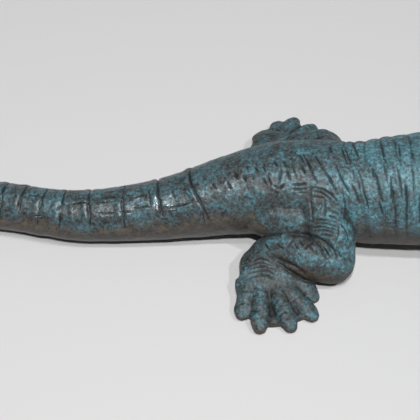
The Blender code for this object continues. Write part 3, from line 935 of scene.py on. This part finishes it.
def carve_all_strokes(tree, body, legs, places):
    """Every stroke on the side that the photograph shows, and its like on the other limbs and side."""
    cut = np.zeros(len(places))
    hidden = fade(-chart(body, places)[1], *LEFT_SIDE)
    mirrored = across_body(body, places)
    feet = [leg.foot for leg in legs]
    for name, (strokes, depth, width) in STROKE_CUT.items():
        routes = routes_on(tree, strokes)
        cut += carve_strokes(places, routes, depth, width)
        if name in ("hip", "trunk", "tail"):
            cut += carve_strokes(mirrored, routes, depth, width) * hidden
        if name in ("thigh", "folds", "shank"):
            cut += carve_strokes(as_right_leg(legs[1], places), routes, depth, width)
        if name == "foot":
            for foot in feet[1:]:
                near = np.linalg.norm(places[:, :2] - foot.ankle[:2], axis=1) < FOOT_REACH * foot.length
                alike = as_right_foot(foot, feet[0], places[near])
                cut[near] += carve_strokes(alike, routes, depth, width) * foot.length / feet[0].length
    return cut


def evaluated(obj):
    """A new mesh of the object as its modifiers leave it."""
    return bpy.data.meshes.new_from_object(obj.evaluated_get(bpy.context.evaluated_depsgraph_get()))


def vectors_of(collection, name):
    """A property of all of a mesh's vertices or normals, as rows of three."""
    values = np.empty(len(collection) * 3)
    collection.foreach_get(name, values)
    return values.reshape(-1, 3)


def settled(places, edges, rounds):
    """The places after each has moved towards its neighbours so many times."""
    ends = np.concatenate([edges[:, 0], edges[:, 1]])
    others = np.concatenate([edges[:, 1], edges[:, 0]])
    count = np.bincount(ends, minlength=len(places))[:, None]
    for _ in range(rounds):
        sums = [np.bincount(ends, weights=places[others, k], minlength=len(places)) for k in range(3)]
        places = 0.5 * places + 0.5 * np.column_stack(sums) / count
    return places


def store(mesh, name, values):
    """Keep a number for each vertex under a name that the material reads."""
    mesh.attributes.new(name, "FLOAT", "POINT").data.foreach_set("value", values.astype(np.float32))


def note_surface(mesh, body):
    """Store for each vertex how hollow its place is, how far it turns down, how green and how polished."""
    places = vectors_of(mesh.vertices, "co")
    outward = vectors_of(mesh.vertex_normals, "vector")
    edges = np.empty(len(mesh.edges) * 2, np.int32)
    mesh.edges.foreach_get("vertices", edges)
    edges = edges.reshape(-1, 2)
    to_near, to_wide, to_calm = (round(rounds * (SETTLING_VOXEL / VOXEL) ** 2) for rounds in SETTLING)
    near = settled(places, edges, to_near)
    wide = settled(near, edges, to_wide)
    store(mesh, "hollow", ((near - places) * outward).sum(axis=1) / GROOVE_UNIT)
    store(mesh, "basin", ((wide - near) * outward).sum(axis=1) / BASIN_UNIT)
    calm = unit(settled(outward, edges, to_calm))
    at, turn, off = chart(body, places)
    ahead = (at - np.interp(HIPS * PART, body.centre[:, 0], body.at)) / PART
    store(mesh, "low", (1 - calm[:, 2]) / 2)
    onto = on(off, 2 * RING_DEPTH)
    store(mesh, "greener", np.interp(ahead, *np.array(GREENER).T) - LEG_BARER * (1 - onto))
    store(mesh, "polish", LEG_POLISH + (np.interp(ahead, *np.array(POLISH).T) - LEG_POLISH) * onto)


def build_lizard():
    """The whole animal's skin as one mesh, with all its carving."""
    body = body_form()
    skull = head_form(SKULL)
    bm = bmesh.new()
    add_form(bm, body, sides=64)
    add_form(bm, skull)
    add_form(bm, head_form(JAW))
    for side in (1, -1):
        for table in (BROW, CHEEK):
            add_form(bm, side_form(table, skull, side))
        ball = bmesh.ops.create_uvsphere(bm, u_segments=24, v_segments=16, radius=EYE_DIAMETER / 2)
        bmesh.ops.translate(bm, verts=ball["verts"], vec=beside_head(skull, EYE[0], side * EYE[1], EYE[2]))
    legs = []
    for chains, side, shift, step, heading, spread, length in LEGS.values():
        forms = [leg_form(table, side, shift) for table in chains]
        ankle = forms[-1].centre[-1] + np.array([*step, 0.0]) * PART
        foot = Foot(ankle, heading, side, spread, length)
        forms.append(palm_form(foot))
        for form in forms + toe_forms(foot) + gap_forms(foot):
            add_form(bm, form)
        add_web(bm, foot)
        legs.append(Leg(forms, side, shift, foot))
    bmesh.ops.recalc_face_normals(bm, faces=bm.faces)
    mesh = bpy.data.meshes.new("lizard_skin")
    bm.to_mesh(mesh)
    bm.free()
    lizard = bpy.data.objects.new("lizard_skin", mesh)
    bpy.context.scene.collection.objects.link(lizard)

    remesh = lizard.modifiers.new("One skin", "REMESH")
    remesh.mode = "VOXEL"
    remesh.voxel_size = VOXEL
    smooth = lizard.modifiers.new("Soft joins", "SMOOTH")
    smooth.factor = 0.5
    smooth.iterations = round(SOLID_SMOOTHING * (SOLID_VOXEL / VOXEL) ** 2)
    skin = evaluated(lizard)
    places = vectors_of(skin.vertices, "co")
    outward = vectors_of(skin.vertex_normals, "vector")
    faces = [tuple(face.vertices) for face in skin.polygons]
    tree = BVHTree.FromPolygons(places.tolist(), faces)
    cut = carve_body(body, places) + carve_head(skull, places)
    for leg in legs:
        cut += carve_leg(leg.forms, body, places)
    cut += carve_all_strokes(tree, body, legs, places) * left_by_wear(places, *STROKE_WEAR)
    cut += sum(height * lumps(places, size, seed) for height, size, seed in CAST_LUMPS)
    places = places + outward * cut[:, None]
    places[:, 2] = np.maximum(places[:, 2], 0.0)
    skin.vertices.foreach_set("co", places.ravel())
    skin.update()
    note_surface(skin, body)

    lizard.modifiers.clear()
    lizard.data = skin
    decimate = lizard.modifiers.new("Fewer faces", "DECIMATE")
    decimate.ratio = min(1.0, TRIANGLES / (2 * len(skin.polygons)))
    final = evaluated(lizard)
    lizard.modifiers.clear()
    lizard.data = final
    final.shade_smooth()
    return lizard


class Nodes:
    """A material's node tree, with one short call for each kind of step."""

    def __init__(self, name):
        self.material = bpy.data.materials.new(name)
        self.material.use_nodes = True
        self.tree = self.material.node_tree
        self.shader = self.tree.nodes["Principled BSDF"]
        self.place = self.tree.nodes.new("ShaderNodeTexCoord").outputs["Object"]

    def put(self, socket, value):
        """Link a node's result to a socket, or set the socket to a plain value."""
        if isinstance(value, bpy.types.NodeSocket):
            self.tree.links.new(value, socket)
        else:
            socket.default_value = value

    def noise(self, size, detail, rough, twist):
        """Random values from 0 to 1 in blotches of a size in metres."""
        node = self.tree.nodes.new("ShaderNodeTexNoise")
        self.put(node.inputs["Vector"], self.place)
        settings = {"Scale": 1 / size, "Detail": detail, "Roughness": rough, "Distortion": twist}
        for name, value in settings.items():
            node.inputs[name].default_value = value
        return node.outputs["Fac"]

    def stored(self, name):
        """A number stored for each vertex."""
        node = self.tree.nodes.new("ShaderNodeAttribute")
        node.attribute_name = name
        return node.outputs["Fac"]

    def step(self, value, start, end, low, high):
        """A smooth step from low, where the value is at start, to high at end."""
        node = self.tree.nodes.new("ShaderNodeMapRange")
        node.interpolation_type = "SMOOTHSTEP"
        for socket, number in zip(node.inputs, (value, start, end, low, high)):
            self.put(socket, number)
        return node.outputs["Result"]

    def math(self, operation, one, two):
        """One sum, product or other operation on two numbers."""
        node = self.tree.nodes.new("ShaderNodeMath")
        node.operation = operation
        self.put(node.inputs[0], one)
        self.put(node.inputs[1], two)
        return node.outputs["Value"]

    def swing(self, pattern, weight):
        """A random pattern as a swing about zero, weighted."""
        return self.math("MULTIPLY", self.math("SUBTRACT", pattern, 0.5), weight)

    def mix(self, share, one, two):
        """One colour blended with another by a share."""
        node = self.tree.nodes.new("ShaderNodeMix")
        node.data_type = "RGBA"
        self.put(node.inputs["Factor"], share)
        colours = [socket for socket in node.inputs if socket.type == "RGBA"]
        self.put(colours[0], one)
        self.put(colours[1], two)
        return [socket for socket in node.outputs if socket.type == "RGBA"][0]

    def ramp(self, value, stops):
        """A colour read from a scale of colours at a value from 0 to 1."""
        node = self.tree.nodes.new("ShaderNodeValToRGB")
        scale = node.color_ramp.elements
        for place, colour in stops[1:-1]:
            scale.new(place)
        for element, (place, colour) in zip(scale, stops):
            element.position = place
            element.color = (*colour, 1.0)
        self.put(node.inputs["Fac"], value)
        return node.outputs["Color"]

    def bump(self, height, depth, below=None):
        """A rough surface of a depth in metres, on top of another."""
        node = self.tree.nodes.new("ShaderNodeBump")
        node.inputs["Distance"].default_value = depth
        self.put(node.inputs["Height"], height)
        if below is not None:
            self.put(node.inputs["Normal"], below)
        return node.outputs["Normal"]


def bronze():
    """Dark bronze under a blotchy blue-green patina, brown below, grey where rubbed on upward-facing ridges
    with a painted sheen there, and black in grooves, broad hollows and on the underside as painted shade.
    """
    n = Nodes("bronze_patina")
    blotch, mottle, fine, tint, speck = (n.noise(*pattern) for pattern in PATTERNS.values())
    hollow, basin = n.stored("hollow"), n.stored("basin")
    low, greener, polish = n.stored("low"), n.stored("greener"), n.stored("polish")

    cover = n.swing(blotch, BLOTCH_COVER)
    cover = n.math("ADD", cover, n.swing(mottle, MOTTLE_COVER))
    cover = n.math("ADD", cover, n.swing(fine, FINE_COVER))
    # Broad basins, such as the troughs of the folds, get thinner, darker patina: painted shade
    cover = n.math("ADD", cover, n.math("SUBTRACT", greener, n.math("MULTIPLY", basin, BASIN_PAINTED_SHADE)))
    under = n.math("ADD", low, n.swing(tint, TINT_EDGE))
    under = n.math("ADD", under, n.swing(mottle, MOTTLE_EDGE))
    greenness = n.math("SUBTRACT", greener, GREEN_MEAN)
    under = n.math("SUBTRACT", under, n.math("MULTIPLY", greenness, GREEN_EDGE))
    under = n.math("SUBTRACT", under, n.step(basin, *BASIN_EDGE))
    cover = n.math("SUBTRACT", cover, n.step(under, *UNDERSIDE_THINS))
    colour = n.ramp(cover, PATINA)

    # Grey of rubbed metal, partly a painted sheen on upward-facing ridges
    rubbed_sheen = n.math("MULTIPLY", n.step(tint, *RUBBED_SHEEN_BY_TINT), n.step(hollow, *RUBBED_SHEEN_BY_HOLLOW))
    rubbed_sheen = n.math("MULTIPLY", rubbed_sheen, n.step(fine, *RUBBED_SHEEN_BY_FINE))
    rubbed_sheen = n.math("MULTIPLY", rubbed_sheen, n.step(low, *RUBBED_SHEEN_BY_LOW))
    rubbed_sheen = n.math("MULTIPLY", rubbed_sheen, polish)
    colour = n.mix(rubbed_sheen, colour, RUBBED_AND_SHEEN_GREY)
    umber = n.mix(n.step(mottle, *BROWN_BY_MOTTLE), METAL_UMBER, METAL_BROWN)
    colour = n.mix(n.step(under, *BROWN_BY_EDGE), colour, umber)
    colour = n.mix(n.step(speck, *BLACK_BY_SPECK), colour, SPECK_AND_SHADE_BLACK)
    # Painted shade: grooves, broad hollows and downward-facing skin are blackened
    painted_shade = n.math("MAXIMUM", n.step(hollow, *SHADE_BY_HOLLOW), n.step(basin, *SHADE_BY_BASIN))
    painted_shade = n.math("MAXIMUM", painted_shade, n.step(low, *SHADE_BY_LOW))
    colour = n.mix(painted_shade, colour, SPECK_AND_SHADE_BLACK)
    n.put(n.shader.inputs["Base Color"], colour)

    n.put(n.shader.inputs["Metallic"], n.math("MULTIPLY", rubbed_sheen, RUBBED_METALLIC))
    smoother = n.math("MULTIPLY", rubbed_sheen, RUBBED_SMOOTHER)
    n.put(n.shader.inputs["Roughness"], n.math("SUBTRACT", n.step(polish, *ROUGH_BY_POLISH), smoother))
    n.shader.inputs["Specular IOR Level"].default_value = SPECULAR
    grain = n.bump(mottle, MOTTLE_GRAIN)
    n.put(n.shader.inputs["Normal"], n.bump(fine, FINE_GRAIN, grain))
    return n.material


def add_floor():
    """The pale table under the animal."""
    bm = bmesh.new()
    bmesh.ops.create_grid(bm, x_segments=1, y_segments=1, size=TABLE_REACH)
    mesh = bpy.data.meshes.new("floor")
    bm.to_mesh(mesh)
    bm.free()
    floor = bpy.data.objects.new("floor", mesh)
    floor.location = (0.0, 0.0, -TABLE_DROP)
    bpy.context.scene.collection.objects.link(floor)
    material = bpy.data.materials.new("pale_table")
    material.use_nodes = True
    shader = material.node_tree.nodes["Principled BSDF"]
    shader.inputs["Base Color"].default_value = TABLE_COLOUR
    shader.inputs["Roughness"].default_value = TABLE_ROUGHNESS
    shader.inputs["Specular IOR Level"].default_value = TABLE_SPECULAR
    mesh.materials.append(material)


def aim(obj, place, target):
    """Put an object at a place, with its -Z axis towards the target."""
    obj.location = Vector(place)
    obj.rotation_euler = (Vector(target) - Vector(place)).to_track_quat("-Z", "Y").to_euler()
    bpy.context.scene.collection.objects.link(obj)


def add_lamp(name, kind, heading, height, strength, spread):
    """A lamp that shines on the animal."""
    lamp = bpy.data.lights.new(name, kind)
    lamp.energy = strength
    if kind == "SUN":
        lamp.angle = math.radians(spread)
    else:
        lamp.size = math.radians(spread) * LAMP_DISTANCE
    a, b = math.radians(heading), math.radians(height)
    way = np.array([math.cos(a) * math.cos(b), math.sin(a) * math.cos(b), math.sin(b)])
    aim(bpy.data.objects.new(name, lamp), CAMERA_TARGET + LAMP_DISTANCE * way, CAMERA_TARGET)


def add_world():
    """A pale studio all round, which adds only a little light."""
    world = bpy.data.worlds.new("studio")
    world.use_nodes = True
    tree = world.node_tree
    dim = tree.nodes["Background"]
    dim.inputs["Color"].default_value = STUDIO_LIGHT
    dim.inputs["Strength"].default_value = STUDIO_STRENGTH
    pale = tree.nodes.new("ShaderNodeBackground")
    pale.inputs["Color"].default_value = STUDIO_SHOWN
    shown = tree.nodes.new("ShaderNodeMixShader")
    seen = tree.nodes.new("ShaderNodeLightPath").outputs["Is Camera Ray"]
    tree.links.new(seen, shown.inputs["Fac"])
    tree.links.new(dim.outputs["Background"], shown.inputs[1])
    tree.links.new(pale.outputs["Background"], shown.inputs[2])
    tree.links.new(shown.outputs["Shader"], tree.nodes["World Output"].inputs["Surface"])
    bpy.context.scene.world = world


def add_camera():
    """The camera of the photograph."""
    data = bpy.data.cameras.new("camera")
    data.lens = LENS
    data.sensor_width = SENSOR
    data.clip_start = CLIP_START
    camera = bpy.data.objects.new("camera", data)
    aim(camera, CAMERA_PLACE, CAMERA_TARGET)
    bpy.context.scene.camera = camera


add_camera()
lizard = build_lizard()
lizard.data.materials.append(bronze())
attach(lizard, "root")
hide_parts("lizard")
add_floor()
for name, lamp in LAMPS.items():
    add_lamp(name, *lamp)
add_world()
bpy.context.scene.view_settings.view_transform = "Standard"
